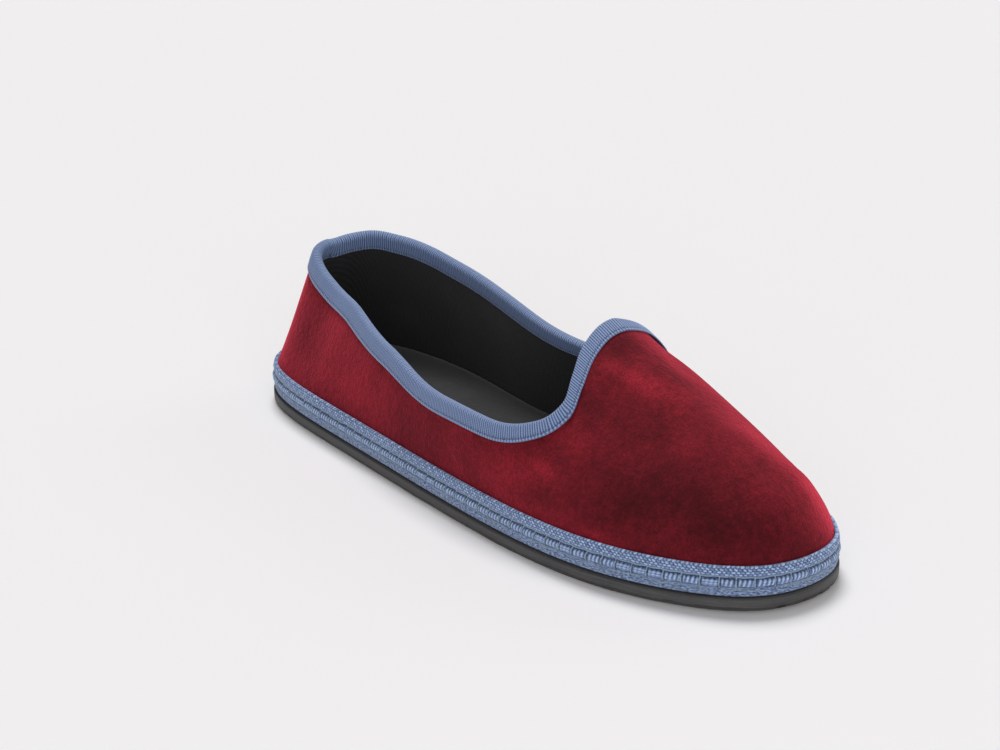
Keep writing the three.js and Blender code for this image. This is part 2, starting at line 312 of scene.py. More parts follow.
def mesh_piece(name, points, faces, finish, **marks):
    """A smooth mesh that rides on the shoe. marks are numbers or vectors kept on its points."""
    mesh = bpy.data.meshes.new(name)
    mesh.from_pydata([tuple(point) for point in points], [], [tuple(face) for face in faces])
    mesh.validate()
    for mark, values in marks.items():
        values = np.asarray(values, np.float32)
        flat = values.ndim == 1
        layer = mesh.attributes.new(mark, "FLOAT" if flat else "FLOAT_VECTOR", "POINT")
        layer.data.foreach_set("value" if flat else "vector", values.ravel())
    mesh.polygons.foreach_set("use_smooth", np.ones(len(mesh.polygons), bool))
    mesh.materials.append(finish)
    made = bpy.data.objects.new(name, mesh)
    bpy.context.scene.collection.objects.link(made)
    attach(made, "root")
    return made


class Link:
    """One output of a shader node. Arithmetic with it adds Math nodes to its material."""

    def __init__(self, tree, socket=None):
        self.tree = tree
        self.socket = socket

    def node(self, kind, settings=None, inputs=None, output=0):
        """Adds a node of that kind: first its settings, then the values or links of its sockets."""
        made = self.tree.nodes.new("ShaderNode" + kind)
        for name, value in (settings or {}).items():
            setattr(made, name, value)
        for name, value in (inputs or {}).items():
            socket = next(s for s in made.inputs if name in (s.identifier, s.name))
            if isinstance(value, Link):
                self.tree.links.new(value.socket, socket)
            else:
                socket.default_value = value
        if not made.outputs:
            return None
        found = output if isinstance(output, int) else next(
            i for i, s in enumerate(made.outputs) if output in (s.identifier, s.name)
        )
        return Link(self.tree, made.outputs[found])

    def math(self, operation, *values):
        inputs = dict(zip(("Value", "Value_001", "Value_002"), values))
        return self.node("Math", {"operation": operation}, inputs)

    def __add__(self, other):
        return self.math("ADD", self, other)

    def __sub__(self, other):
        return self.math("SUBTRACT", self, other)

    def __rsub__(self, other):
        return self.math("SUBTRACT", other, self)

    def __mul__(self, other):
        return self.math("MULTIPLY", self, other)

    __radd__ = __add__
    __rmul__ = __mul__

    def between(self, low, high):
        """0 below low, 1 above high and an S-shaped rise between."""
        settings = {"interpolation_type": "SMOOTHSTEP"}
        return self.node("MapRange", settings, {"Value": self, "From Min": low, "From Max": high})

    def wave(self, period):
        """Swings from 0 to 1 and back in each period."""
        return self.math("SINE", self * (2 * np.pi / period)) * 0.5 + 0.5

    def noise(self, size, detail=3.0, stretch=(1, 1, 1)):
        """Soft patches about size across on a place in metres, drawn out by stretch."""
        scaled = self.node(
            "VectorMath", {"operation": "DIVIDE"}, {"Vector": self, "Vector_001": [size * s for s in stretch]}
        )
        return self.node("TexNoise", {}, {"Vector": scaled, "Scale": 1.0, "Detail": detail}, "Fac")

    def part(self, axis):
        return self.node("SeparateXYZ", {}, {"Vector": self}, axis)

    def mark(self, name, output="Fac"):
        """A number, or a vector, kept on the mesh's points."""
        return self.node("Attribute", {"attribute_name": name}, {}, output)


def colour_mix(share, first, second):
    """The first colour where share is 0, the second where it is 1."""
    start = next(x for x in (share, first, second) if isinstance(x, Link))
    inputs = {"Factor_Float": share, "A_Color": first, "B_Color": second}
    return start.node("Mix", {"data_type": "RGBA"}, inputs, "Result_Color")


def srgb(red, green, blue):
    """A colour as it looks on screen, from 0 to 255, as the shader's linear one."""
    seen = np.array([red, green, blue]) / 255
    linear = np.where(seen <= 0.04045, seen / 12.92, ((seen + 0.055) / 1.055) ** 2.4)
    return (*[float(x) for x in linear], 1.0)


def new_finish(name):
    """A new material, and the place on the surface in metres as its first link."""
    material = bpy.data.materials.new(name)
    material.use_nodes = True
    material.node_tree.nodes.clear()
    place = Link(material.node_tree).node("TexCoord", output="Object")
    return material, place


def close_finish(place, height, bump, **surface):
    """Ends a material: a bump of that height in metres, and the Principled sockets."""
    normal = place.node("Bump", {}, {"Height": height, "Distance": bump, "Strength": 1.0})
    named = {name.replace("_", " "): value for name, value in surface.items()}
    shader = place.node("BsdfPrincipled", {}, {**named, "Normal": normal})
    place.node("OutputMaterial", {}, {"Surface": shader})


def rubber_finish():
    material, place = new_finish("cut_rubber")
    depth = place.mark("depth")
    side = place.mark("side")
    climb = place.mark("climb")
    streaks = place.noise(1 * mm, 4.0, (14, 14, 0.5)).between(0.35, 0.75)
    cloud = place.noise(9 * mm, 4.0).between(0.3, 0.75)
    specks = place.noise(0.5 * mm, 2.0).between(0.55, 0.75)
    plain = colour_mix(cloud, srgb(48, 48, 51), srgb(62, 62, 65))
    cut = colour_mix(streaks * 0.6 + cloud * 0.4, srgb(70, 69, 70), srgb(96, 94, 94))
    # The sheet's lower layer is darker, and a broken line parts it from the upper one
    ragged = climb + place.noise(3 * mm, 3.0, (3, 3, 0.4)) * 0.16 - 0.08
    cut = colour_mix((1 - ragged.between(0.24, 0.34)) * 0.55, cut, srgb(58, 54, 53))
    seam = ragged.between(0.25, 0.29) * (1 - ragged.between(0.3, 0.34))
    cut = colour_mix(seam * place.noise(5 * mm, 2.0).between(0.4, 0.6) * 0.7, cut, srgb(30, 29, 30))
    # Painted shade: the top of the side darkens where it meets the ribbon and lies under it
    cut = colour_mix(climb.between(0.72, 0.96) * 0.65, cut, srgb(30, 30, 33))
    colour = colour_mix(side, plain, cut)
    colour = colour_mix(specks * 0.35, colour, srgb(96, 96, 97))
    # Painted shade: the tread's grooves, the stitch beds and holes, and the nicks in the side are darkened
    colour = colour_mix(depth * 0.75, colour, srgb(20, 20, 22))
    ribs = place.part("X").wave(0.8 * mm) * place.mark("ribbed")
    height = specks * 0.25 + ribs + streaks * side * 0.4
    rough = 0.5 + cloud * 0.15 + streaks * side * 0.1
    close_finish(place, height, 0.25 * mm, Base_Color=colour, Roughness=rough, Specular_IOR_Level=0.35)
    return material


# Small cuts in the lower edge near the toe, in degrees and millimetres
NICKS = table("turn length depth", (187.6, 2.6, 0.7), (180, 1.5, 0.7), (174.3, 1.5, 0.7), (168.4, 1.5, 0.6))

# Rings of the side in millimetres, from the worn lower arris to the clean upper one and in under the pad
SIDE = table(
    "z inset", (0.25, 0.45), (0.7, 0.2), (1.3, 0.06), (2.4, 0), (3.5, 0), (4.3, 0), (4.6, 0.3), (4.6, 2.5)
)
EDGE_WANDER = 0.12 * mm           # of the knife along the lower arris
BED_DEPTH = 0.4 * mm              # under a stitch
HOLE_DEPTH = 0.9 * mm
HOLE_SIZE = (0.4 * mm, 1.1 * mm)  # radius of its floor and of its rim
PLAIN_MARGIN = (4 * mm, 5 * mm)   # from the edge in, where the tread starts
LIFT_MARGIN = (1.5 * mm, 4.5 * mm)
CHUNK = 4000                      # points measured at a time


def outsole():
    flat, faces, edge = lattice()
    x, y = flat.T
    loop = flat[edge]
    outward = loop_normals(loop)
    from_edge = np.full(len(flat), np.inf)
    for start in range(0, len(flat), CHUNK):
        some = flat[start:start + CHUNK]
        apart = np.linalg.norm(some[:, None] - loop[None, ::2], axis=-1)
        from_edge[start:start + CHUNK] = apart.min(1)
    pattern = tread(x, y) * smooth(*PLAIN_MARGIN, from_edge)
    sunk = np.zeros(len(flat))
    holes = np.zeros(len(flat))
    for start, end in STITCHES:
        near = np.linalg.norm(flat - (start + end) / 2, axis=1) < STITCH_LENGTH
        spots = flat[near]
        reach = end - start
        share = np.clip((spots - start) @ reach / (reach @ reach), 0, 1)
        away = np.linalg.norm(spots - start - share[:, None] * reach, axis=1)
        sunk[near] = np.maximum(sunk[near], 1 - smooth(0.6 * STITCH_RADIUS, 2.1 * STITCH_RADIUS, away))
        for hole in (start, end):
            away = np.linalg.norm(spots - hole, axis=1)
            holes[near] = np.maximum(holes[near], 1 - smooth(*HOLE_SIZE, away))
    lift = TREAD_LIFT * smooth(*LIFT_MARGIN, from_edge)
    z = lift + np.maximum(pattern * TREAD_DEPTH * (1 - sunk), BED_DEPTH * sunk + HOLE_DEPTH * holes)
    bottom = np.column_stack([flat, z + spring(x)])
    turn_at = np.degrees(np.arctan2(loop[:, 1], -loop[:, 0])) % 360
    nick = np.zeros(len(loop))
    for turn, length, deep in zip(NICKS["turn"], NICKS["length"] * mm, NICKS["depth"] * mm):
        middle = outline(np.radians(turn), EDGE_WEAR)
        nick = np.maximum(nick, deep * groove(np.linalg.norm(loop - middle, axis=1), length, 0.6 * mm))
    wander = EDGE_WANDER * np.sin(np.radians(turn_at * 9)) * np.sin(np.radians(turn_at * 4 + 40))
    points = [bottom]
    pits = []
    climbs = []
    previous = edge
    for height, inset in zip(*SIDE.values()):
        low_part = 1 - smooth(0.2, 1.6, height)
        out = EDGE_WEAR - inset * mm - nick * low_part + wander * low_part
        ring = loop + outward * out[:, None]
        points.append(np.column_stack([ring, height * mm + spring(ring[:, 0])]))
        pits.append(np.minimum(1, nick / (0.5 * mm)) * low_part)
        climbs.append(np.full(len(ring), height * mm / RUBBER_TOP))
        following = len(flat) + (len(pits) - 1) * len(ring) + np.arange(len(ring))
        faces += band(previous, following)
        previous = following
    faces += cap(previous)
    across = abs(y - tread_axis(x))
    ribbed = smooth(RIBBED[0], RIBBED[0] + 0.3 * mm, across)
    ribbed = ribbed * (1 - smooth(RIBBED[1], RIBBED[1] + 0.3 * mm, across))
    ribbed = ribbed * smooth(*PLAIN_MARGIN, from_edge) * (1 - sunk)
    # Grooves, stitch beds and holes here, and the nicks in the side, set the painted shade of the depth mark
    hollow = np.maximum(pattern, np.maximum(holes, 0.5 * sunk))
    extra = sum(len(pit) for pit in pits)
    made = mesh_piece(
        "outsole_rubber", np.vstack(points), faces, rubber_finish(),
        depth=np.concatenate([hollow, *pits]),
        climb=np.concatenate([np.zeros(len(flat)), *climbs]),
        side=np.concatenate([np.zeros(len(flat)), np.ones(extra)]),
        ribbed=np.concatenate([ribbed, np.zeros(extra)]),
    )
    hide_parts("outsole")


outsole()

# Sole stitches. Five rows of hand stitches in waxed two-ply thread, off-white, hold the rubber to the pad.
# Each stitch leaves one hole and enters the next, lying in a shallow bed in the rubber.

THREAD_SIDES = 8
THREAD_STEPS = 20
PLY_PITCH = 2.2 * mm              # length in which the two plies turn once
PLY_RELIEF = 0.13                 # how far the plies stand out, as a share of the radius


def thread_finish():
    material, place = new_finish("waxed_thread")
    twist = place.mark("twist")
    fibres = place.noise(0.35 * mm, 3.0)
    grime = place.noise(14 * mm, 3.0).between(0.5, 0.8)
    # Painted shade: the thread is darker in the grooves between its plies
    colour = colour_mix(twist, srgb(176, 172, 163), srgb(232, 229, 222))
    colour = colour_mix(grime * 0.35, colour, srgb(150, 146, 138))
    close_finish(
        place, fibres + twist, 0.1 * mm, Base_Color=colour, Roughness=0.62 + fibres * 0.2,
        Sheen_Weight=0.15,
    )
    return material


def sole_stitches():
    share = np.linspace(0, 1, THREAD_STEPS)
    dip = 1 - smooth(0, 0.1, np.minimum(share, 1 - share))
    around = np.arange(THREAD_SIDES) * 2 * np.pi / THREAD_SIDES
    points, faces, twists = [], [], []
    for number, (start, end) in enumerate(STITCHES):
        line = start + share[:, None] * (end - start)
        length = np.linalg.norm(end - start)
        radius = STITCH_RADIUS * (1 - 0.45 * dip)
        centre = np.column_stack([line, STITCH_RADIUS + HOLE_DEPTH * dip + spring(line[:, 0])])
        along = np.array([*(end - start), 0]) / length
        across = np.array([-along[1], along[0], 0])
        ply = np.cos(2 * around - 2 * np.pi * share[:, None] * length / PLY_PITCH + number)
        # The plies stand out sideways; below they are pressed flat against the floor
        out = radius[:, None] * (1 + PLY_RELIEF * (ply - 1) / 2)
        ring = centre[:, None] + out[..., None] * (
            np.cos(around)[None, :, None] * across + np.sin(around)[None, :, None] * np.array([0, 0, 1])
        )
        rings = len(points) * ply.size + np.arange(ply.size).reshape(ply.shape)
        for lower, upper in zip(rings, rings[1:]):
            faces += band(upper, lower)
        faces += [rings[0][::-1], rings[-1]]
        points.append(ring.reshape(-1, 3))
        twists.append((ply / 2 + 0.5).ravel())
    made = mesh_piece(
        "sole_stitches", np.vstack(points), faces, thread_finish(), twist=np.concatenate(twists)
    )


sole_stitches()

# Midsole. A pad of cloth layers on which the whole shoe is sewn. Only its edge could show, in the gap
# between rubber and ribbon, so the pad keeps its solid and gets the look of quilted cotton.


def pad_finish():
    material, place = new_finish("quilted_pad")
    weave = place.part("X").wave(0.9 * mm) * place.part("Y").wave(0.9 * mm)
    layers = place.part("Z").wave(1.2 * mm)
    fluff = place.noise(1.5 * mm, 4.0)
    colour = colour_mix(layers, srgb(34, 42, 60), srgb(66, 80, 112))
    colour = colour_mix(fluff * 0.5, colour, srgb(92, 104, 130))
    height = weave * 0.4 + layers * 0.6 + fluff * 0.5
    close_finish(
        place, height, 0.3 * mm, Base_Color=colour, Roughness=0.85 + fluff * 0.1, Sheen_Weight=0.2
    )
    return material


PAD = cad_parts["midsole"]
PAD.data.materials.clear()
PAD.data.materials.append(pad_finish())

# Insole. The lining's floor: black cotton over a thin pad, crowned towards its middle and worn into a
# shallow bed under heel and ball. It is tucked in all round under the wall.

INSOLE_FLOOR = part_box("insole")[0].z
LAST_INSET = 1.9 * mm             # from the rubber's edge in to the velvet's foot
WALL = 2 * mm                     # velvet and lining together
INSOLE_INSET = LAST_INSET + WALL + 0.3 * mm
INSOLE_STATIONS = 240
INSOLE_RINGS = 22
INSOLE_THICKNESS = 1.8 * mm       # at its round edge
SPINE_END = 94 * mm               # the rings close in on a line that ends this far from the middle
CROWN = 0.7 * mm

# The worn beds in millimetres: middle along the shoe, depth, reach along the shoe and across it
BEDS = table("x depth long wide", (-88, 0.8, 30, 20), (45, 0.7, 35, 28))


def lining_finish():
    material, place = new_finish("black_cotton")
    weave_x = place.part("X").wave(0.7 * mm)
    weave_y = (place.part("Y") + place.part("Z")).wave(0.7 * mm)
    fluff = place.noise(2.5 * mm, 5.0)
    worn = place.noise(28 * mm, 3.0).between(0.45, 0.75)
    colour = colour_mix(weave_x * weave_y, srgb(24, 24, 26), srgb(44, 44, 47))
    colour = colour_mix(worn * 0.45, colour, srgb(54, 54, 57))
    height = weave_x * weave_y * 0.6 + fluff * 0.6
    close_finish(
        place, height, 0.2 * mm, Base_Color=colour, Roughness=0.85 + fluff * 0.1, Sheen_Weight=0.12
    )
    return material


LINING_FINISH = lining_finish()


def insole():
    turn = np.arange(INSOLE_STATIONS) * 2 * np.pi / INSOLE_STATIONS
    rim = outline(turn, INSOLE_INSET)
    spine = np.column_stack([np.clip(rim[:, 0], -SPINE_END, SPINE_END), tread_axis(rim[:, 0])])
    rings = [rim]
    heights = [np.zeros(INSOLE_STATIONS)]
    for share in np.linspace(0, 0.97, INSOLE_RINGS):
        # A round edge, then a slow rise to the crown
        edge = min(1, share * 9)
        place = rim + (spine - rim) * share
        bed = 0
        for row in zip(*BEDS.values()):
            x, depth, long, wide = np.array(row) * mm
            bed = bed + depth * np.exp(-(((place[:, 0] - x) / long) ** 2 + (place[:, 1] / wide) ** 2))
        crown = CROWN * np.sin(share * np.pi / 2)
        rings.append(place)
        heights.append(INSOLE_THICKNESS * (0.35 + 0.65 * np.sqrt(1 - (1 - edge) ** 2)) + crown - bed * share)
    points = [
        np.column_stack([ring, INSOLE_FLOOR + height + spring(ring[:, 0])])
        for ring, height in zip(rings, heights)
    ]
    levels = np.arange(len(rings) * INSOLE_STATIONS).reshape(len(rings), INSOLE_STATIONS)
    faces = [tuple(reversed(face)) for face in cap(levels[0])] + cap(levels[-1])
    for lower, upper in zip(levels, levels[1:]):
        faces += band(lower, upper)
    made = mesh_piece("insole_pad", np.vstack(points), faces, LINING_FINISH)
    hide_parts("insole")


insole()

# Upper. Velvet with a black cotton lining, sewn at its foot into the edge ribbon and drawn over a last.
# The last's shape comes from its cross sections, and ribs that climb it from the foot line to the
# opening's edge lay out the cloth. The nap is brushed, so it is mottled and shines where it is seen
# edge on; along the inner side of the ridge that shine is also painted into its colour as painted sheen.

RIBBON_TOP = 14.1 * mm            # height at which the velvet leaves the edge ribbon
MARGIN_FOOT = INSOLE_FLOOR        # the velvet goes on down behind the ribbon to this height
RIDGE_HEEL = 0.8                  # the ridge stops short of heel and toe, as shares of half the length
RIDGE_TOE = 0.88

# at: share of the length from the heel. ridge: height of the top line in millimetres. shift: how far that
# line lies towards the inner side. inner, outer: how full the flanks are, 2 being an ellipse.
SECTIONS = table(
    "at ridge shift inner outer",
    (0, 80, 0, 1.32, 1.32),
    (0.03, 80.5, 0, 1.85, 1.08),
    (0.08, 81, 0, 2.3, 0.95),
    (0.2, 82, 0, 2.4, 1.1),
    (0.4, 82, 0.6, 2.2, 1.6),
    (0.55, 76, 1.8, 1.9, 1.8),
    (0.65, 67.9, 3.65, 1.55, 1.65),
    (0.75, 58.4, 3.65, 1.45, 1.55),
    (0.85, 49.3, 3.65, 1.45, 1.5),
    (0.93, 43, 3.65, 1.5, 1.5),
    (1, 34.2, 4, 1.57, 1.57),
)

# The foot opening, in degrees. foot: a turn of the foot line. inner_edge, outer_edge: the turn at which its
# rib meets the opening. inner, outer: how far up the flank the opening's edge is there, 90 being the ridge.
OPENING = table(
    "foot inner_edge inner outer_edge outer",
    (0, 0, 46, 0, 46),
    (10, 10, 44.1, 10, 45.6),
    (20, 20, 39.4, 20, 45.9),
    (35, 35, 32.3, 35, 45),
    (50, 50, 28.5, 50, 41.5),
    (70, 69.5, 24.5, 70, 31),
    (90, 86, 23.5, 88, 23),
    (104, 97.5, 27, 101.6, 26),
    (116, 103.5, 34.5, 109.4, 35.2),
    (128, 106, 46, 112.4, 45),
    (142, 107.4, 58, 111.5, 55.5),
    (156, 108.8, 69.5, 110.05, 66.3),
    (168, 109.6, 79.5, 109.5, 78),
    (180, 109.65, 90, 109.65, 90),
)
PATH_SAMPLES = 60                 # along each rib of the cloth
HALVINGS = 44                     # of the turn, to find a place of the chart on the last


def follow(rows, key, column, x):
    """A smooth curve through the rows of a table, read at x."""
    keys, values = rows[key], rows[column]
    slopes = np.diff(values) / np.diff(keys)
    before, after = np.diff(keys)[:-1], np.diff(keys)[1:]
    inner = (slopes[:-1] * after + slopes[1:] * before) / (before + after)
    bends = np.concatenate([slopes[:1], inner, slopes[-1:]])
    at = np.clip(x, keys[0], keys[-1])
    i = np.clip(np.searchsorted(keys, at, side="left") - 1, 0, len(keys) - 2)
    step = keys[i + 1] - keys[i]
    s = (at - keys[i]) / step
    rest = 1 - s
    ends = rest * rest * (1 + 2 * s) * values[i] + s * s * (3 - 2 * s) * values[i + 1]
    return ends + s * rest * step * (rest * bends[i] - s * bends[i + 1])


def last_point(turn, climb):
    """Points of the last: turn goes round the foot, climb from 0 at the foot line up to the ridge."""
    foot = outline(turn, LAST_INSET)
    at = (1 - np.cos(turn)) / 2
    reach = np.where(np.cos(turn) < 0, RIDGE_TOE, RIDGE_HEEL)
    ridge_x = -SOLE_LENGTH / 2 * reach * np.cos(turn)
    full = np.where(
        np.sin(turn) >= 0, follow(SECTIONS, "at", "inner", at), follow(SECTIONS, "at", "outer", at)
    )
    across = 1 - np.abs(np.cos(climb)) ** (2 / full)
    up = np.abs(np.sin(climb)) ** (2 / full)
    x = foot[..., 0] + (ridge_x - foot[..., 0]) * across
    ridge_y = follow(SECTIONS, "at", "shift", at) * mm - MIDDLE[1]
    y = foot[..., 1] + (ridge_y - foot[..., 1]) * across
    z = RIBBON_TOP + (follow(SECTIONS, "at", "ridge", at) * mm - RIBBON_TOP) * up
    return np.stack([x, y, z + spring(x)], -1)


def to_chart(turn, climb):
    """The last's flat chart: a disc with the heel at x = -1, the toe at x = 1, the ridge on the x axis."""
    reach = np.where(np.cos(turn) < 0, RIDGE_TOE, RIDGE_HEEL)
    x = -np.cos(turn) * (reach + (1 - reach) * np.cos(climb))
    return np.stack([x, np.sin(turn) * np.cos(climb)], -1)


def from_chart(spots):
    side = np.maximum(np.abs(spots[..., 1]), 1e-7)
    low = np.arcsin(np.minimum(1, side))
    high = np.pi - low
    for _ in range(HALVINGS):
        turn = (low + high) / 2
        climb = np.arccos(np.minimum(1, side / np.sin(turn)))
        behind = to_chart(turn, climb)[..., 0] < spots[..., 0]
        low = np.where(behind, turn, low)
        high = np.where(behind, high, turn)
    turn = (low + high) / 2
    climb = np.arccos(np.minimum(1, side / np.sin(turn)))
    return last_point(np.where(spots[..., 1] < 0, 2 * np.pi - turn, turn), climb)


class Ribs:
    """The cloth's ribs at these turns, each a path from the foot line up to the opening's edge."""

    def __init__(self, turns):
        inner = turns <= np.pi
        foot = np.degrees(np.where(inner, turns, 2 * np.pi - turns))
        edge, climb = (
            np.radians(np.where(inner, follow(OPENING, "foot", on_inner, foot),
                                follow(OPENING, "foot", on_outer, foot)))
            for on_inner, on_outer in (("inner_edge", "outer_edge"), ("inner", "outer"))
        )
        start = to_chart(turns, np.zeros(len(turns)))
        end = to_chart(np.where(inner, edge, 2 * np.pi - edge), climb)
        share = (np.arange(PATH_SAMPLES + 1) / PATH_SAMPLES) ** 2
        self.turns = turns
        self.feet = foot
        self.paths = from_chart(start[:, None] + (end - start)[:, None] * share[None, :, None])
        steps = np.linalg.norm(np.diff(self.paths, axis=1), axis=2)
        self.runs = np.concatenate([np.zeros((len(turns), 1)), np.cumsum(steps, axis=1)], 1)
        self.lengths = self.runs[:, -1]

    def at(self, wanted):
        """Points at these distances up each rib, an array with a row for each rib."""
        found = np.empty((*wanted.shape, 3))
        for i, run in enumerate(self.runs):
            for axis in range(3):
                found[i, :, axis] = np.interp(wanted[i], run, self.paths[i, :, axis])
        return found


def grid_normals(grid):
    """Outward normals of a grid of columns that closes round the shoe."""
    along = np.roll(grid, -1, 0) - np.roll(grid, 1, 0)
    up = np.gradient(grid, axis=1)
    return unit(np.cross(up, along))


def ring_faces(columns, rows):
    """Quads of closed section loops that follow each other round the shoe."""
    i = np.arange(columns)[:, None]
    j = np.arange(rows)[None, :]
    ahead = (i + 1) % columns
    above = (j + 1) % rows
    corners = [i * rows + j, i * rows + above, ahead * rows + above, ahead * rows + j]
    return np.stack(corners, -1).reshape(-1, 4)


def ring_piece(name, loops, finish, **marks):
    """A closed ring from section loops, one for each turn. marks have a value for each of its points."""
    columns, rows = loops.shape[:2]
    flat = {}
    for mark, values in marks.items():
        values = np.asarray(values)
        flat[mark] = values.reshape(columns * rows, *values.shape[2:])
    return mesh_piece(name, loops.reshape(-1, 3), ring_faces(columns, rows), finish, **flat)


# Soft creases pressed into the velvet: from one place to another in millimetres, how deep (below zero it
# is a ridge) and how wide
CREASES = table(
    "x0 y0 x1 y1 depth width",
    (40, 20, 58, 12, 0.5, 5),
    (50, 22, 74, 17, -0.35, 6),
    (50, -14, 66, -2, -0.35, 6),
    (54, -24, 80, -14, 0.35, 8),
    (109, 18, 115, 11, -0.85, 4.5),
    (92, 20, 100, 12, 0.3, 6),
    (22, -38, 50, -40, 0.35, 7),
    (24, 34, 60, 32, 0.35, 6),
    (-118, 16, -90, 30, 0.3, 6),
    (-118, -16, -88, -28, 0.3, 6),
    (-40, 33, 0, 37, 0.3, 7),
    (-40, -34, 4, -40, 0.3, 7),
)
VELVET_STATIONS = 480
VELVET_ROWS = 84
VELVET_THICKNESS = 1.1 * mm
VELVET_EDGE = 0.4 * mm            # the velvet stops this far short of the opening's edge
ROUNDING = 14                     # rounds of smoothing across the cloth's ribs

# Where the nap is brushed the light way, and below zero the dark way, in millimetres: the patch's middle,
# its reach along the shoe and across it, and its strength. The light patches along the inner side of the
# ridge, where the cloth is seen edge on, are painted sheen as well as brushed nap.
NAP_AND_SHEEN = table(
    "x y z long wide light",
    # the vamp: a bright streak below the peak and what lies round it
    (51, -10.5, 57.5, 4.5, 3, 0.8),
    (58, -8.5, 55.7, 5, 3, 0.7),
    (65, -6.5, 54, 6, 4, 1),
    (72, -1, 52, 7, 4.5, 0.5),
    (47, -4, 61.5, 6, 6, -0.5),
    (60, 5, 57, 9, 3, -0.4),
    (69, 5.5, 54, 8, 3, -0.3),
    (55, -22, 48, 7, 5, -0.3),
    (58.5, -29, 39.6, 7, 8, 0.35),
    (100, -2, 41, 14, 7, 0.25),
    # the inner side of the ridge, brushed light, with painted sheen where the cloth is seen edge on
    (54, 11, 57, 8, 4, 0.5),
    (66, 16, 50, 9, 5, 0.5),
    (79, 17.5, 46, 9, 5, 0.5),
    (92, 14, 42.5, 8, 7, 0.85),
    (103, 16, 37, 8, 6, 0.7),
    (112, 17, 31, 8, 8, 0.9),
    (119, 17, 23, 6, 8, 0.9),
    (121, 21, 16, 6, 8, 0.7),
    # the outer side
    (51.3, -37.1, 29.4, 6, 2.6, 0.8),
    (38, -39.5, 26, 12, 5, 0.4),
    (33, -41, 21, 14, 6, 0.35),
    (50, -41, 16, 14, 3, 0.4),
    (76, -37.5, 16, 18, 2.4, 0.6),
    (48, -40, 22, 8, 3, -0.22),
    (82, -33, 24, 14, 8, -0.45),
    (90, -25, 32, 16, 8, -0.35),
    (110, -19, 26, 14, 9, -0.5),
    (122, -6, 22, 8, 8, -0.4),
    # the rest of it, brushed by chance
    (-60, -36, 24, 20, 8, 0.5),
    (-100, -24, 26, 14, 8, -0.5),
    (-20, -38, 20, 16, 7, -0.45),
    (-84, -30, 42, 14, 6, 0.4),
    (-50, 30, 34, 18, 7, 0.5),
    (-10, 34, 24, 16, 7, -0.5),
    (30, 40, 24, 16, 8, 0.5),
    (62, 34, 30, 16, 7, -0.45),
    (92, 24, 30, 12, 7, 0.4),
    (-118, 10, 36, 8, 8, 0.5),
    (-122, -4, 24, 6, 7, -0.5),
)


def creased(points, normals):
    """Moves the velvet's points in and out at the creases."""
    deep = np.zeros(points.shape[:-1])
    for row in zip(*CREASES.values()):
        x0, y0, x1, y1, depth, width = np.array(row) * mm
        start, reach = np.array([x0, y0]), np.array([x1 - x0, y1 - y0])
        share = np.clip(((points[..., :2] - start) @ reach) / (reach @ reach), 0, 1)
        away = np.linalg.norm(points[..., :2] - start - share[..., None] * reach, axis=-1)
        deep += depth * np.exp(-((away / width) ** 2)) * smooth(0, 6 * mm, points[..., 2] - RIBBON_TOP)
    return points - normals * deep[..., None]


def velvet_finish():
    material, place = new_finish("burgundy_velvet")
    nap_and_sheen = place.mark("nap")
    clouds = place.noise(26 * mm, 1.5) - 0.5
    patches = place.noise(8 * mm, 2.5) - 0.5
    small = place.noise(2.2 * mm, 3.0) - 0.5
    pile = place.noise(0.7 * mm, 3.0)
    # Brushed nap, and painted sheen along the inner side of the ridge, lighten or darken the cloth
    light = 0.4 + nap_and_sheen * 0.42 + clouds * 0.3 + patches * 0.34 + small * 0.4
    colour = colour_mix(light.between(-0.1, 1.4), srgb(60, 15, 20), srgb(192, 44, 62))
    colour = colour_mix(pile.between(0.35, 0.7) * 0.45, colour, srgb(52, 12, 17))
    close_finish(
        place, pile * 0.7 + small, 0.35 * mm, Base_Color=colour, Roughness=0.88 - light * 0.08,
        Specular_IOR_Level=0.1, Sheen_Weight=1.0, Sheen_Roughness=0.4,
        Sheen_Tint=srgb(240, 72, 96),
    )
    return material


